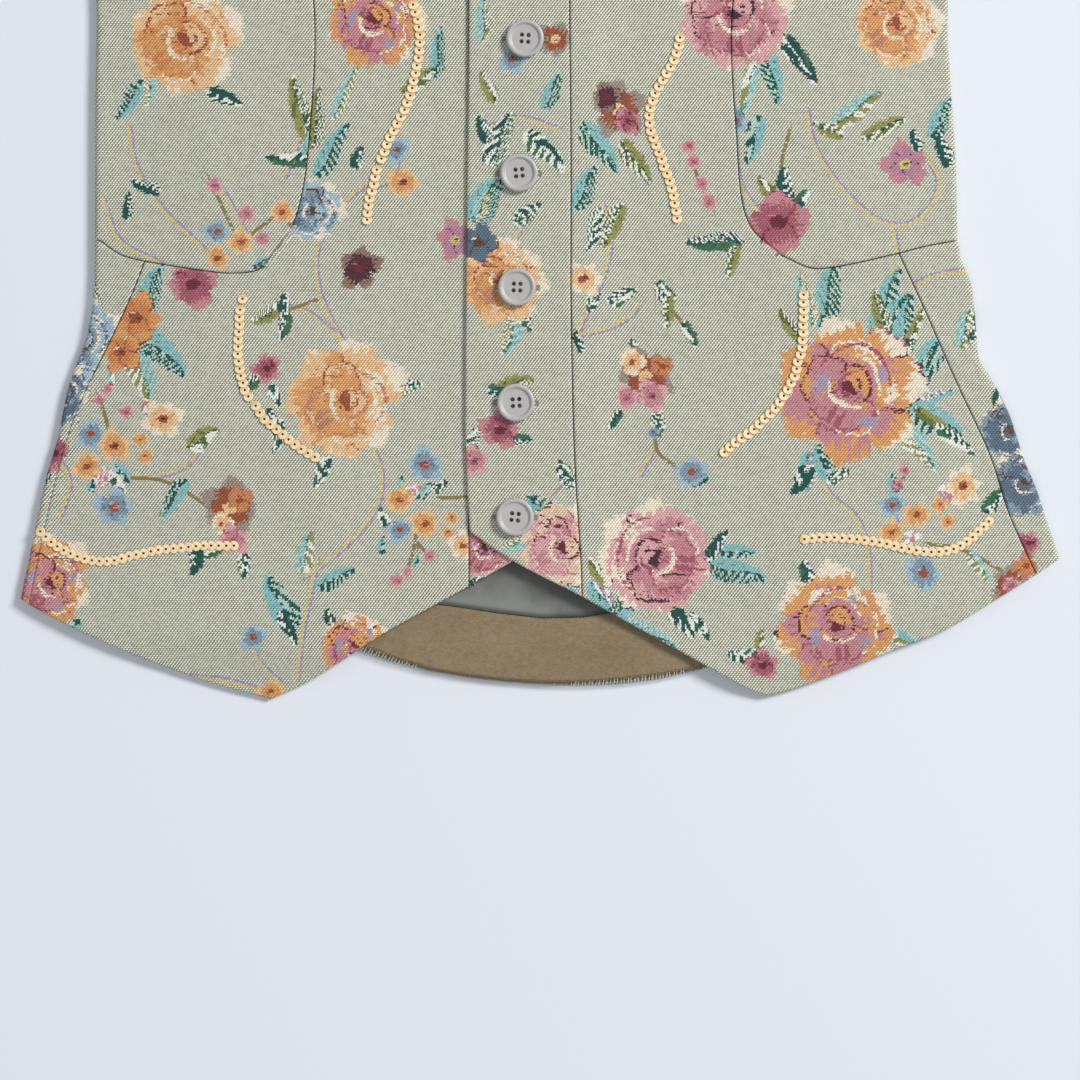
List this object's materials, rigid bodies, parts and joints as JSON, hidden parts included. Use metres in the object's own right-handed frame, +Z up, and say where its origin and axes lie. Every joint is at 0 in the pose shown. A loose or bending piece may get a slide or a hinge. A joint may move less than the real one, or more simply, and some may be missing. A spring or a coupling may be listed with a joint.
{
  "type": "jacquard waistcoat",
  "caption": "Sleeveless single-breasted waistcoat in floral tapestry jacquard, buttoned and laid flat, with pointed front hems and a curved back hem.",
  "frame": {"origin": "on the surface that the garment lies on, at the middle of its outline's box", "axes": "+X towards the wearer's left side, +Y up to the neck, +Z up from the surface"},
  "size_m": [0.4692, 0.5998, 0.0112],
  "materials": {
    "jacquard": "woven tapestry jacquard, sage ground with small roses, sprigs and leaves, matt",
    "lining": "satin lining, grey-green, low sheen",
    "facing": "fine tan twill, matt",
    "button": "light grey, satin",
    "sequin": "pale gold sequins, pearly",
    "thread": "sewing thread, sage grey"
  },
  "bodies": {
    "root": {"back": "jacquard", "back_lining": "lining", "hem_facing": "facing", "front_left": "jacquard", "side_front_left": "jacquard", "side_panel_left": "jacquard", "front_right": "jacquard", "side_front_right": "jacquard", "side_panel_right": "jacquard", "band_left": "jacquard", "band_right": "jacquard", "button_1": "button", "button_2": "button", "button_3": "button", "button_4": "button", "button_5": "button", "button_6": "button"}
  },
  "joints": []
}
